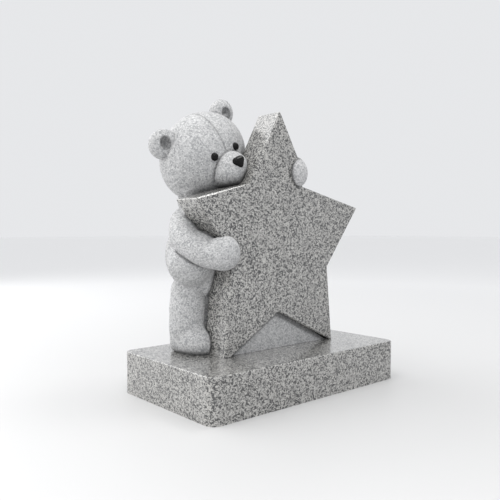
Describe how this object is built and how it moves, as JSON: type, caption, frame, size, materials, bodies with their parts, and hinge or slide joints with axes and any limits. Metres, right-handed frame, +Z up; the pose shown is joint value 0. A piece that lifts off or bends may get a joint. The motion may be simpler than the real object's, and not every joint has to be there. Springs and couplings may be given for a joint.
{
  "type": "teddy bear headstone",
  "caption": "Granite headstone on a slab base: a carved teddy bear leans round a large upright star and hugs it, and the star's polished face is blank.",
  "frame": {"origin": "centre of the base's underside, where it stands on its foundation", "axes": "+Z up; +X along the base, to the right of a viewer who faces the star; the star's blank face looks along -Y"},
  "size_m": [0.61, 0.355, 0.7235],
  "materials": {
    "polished_granite": "polished",
    "carved_granite": "frosted carving and polished star face"
  },
  "bodies": {
    "root": {"base": "polished_granite", "bear_and_star": "carved_granite"}
  },
  "joints": []
}
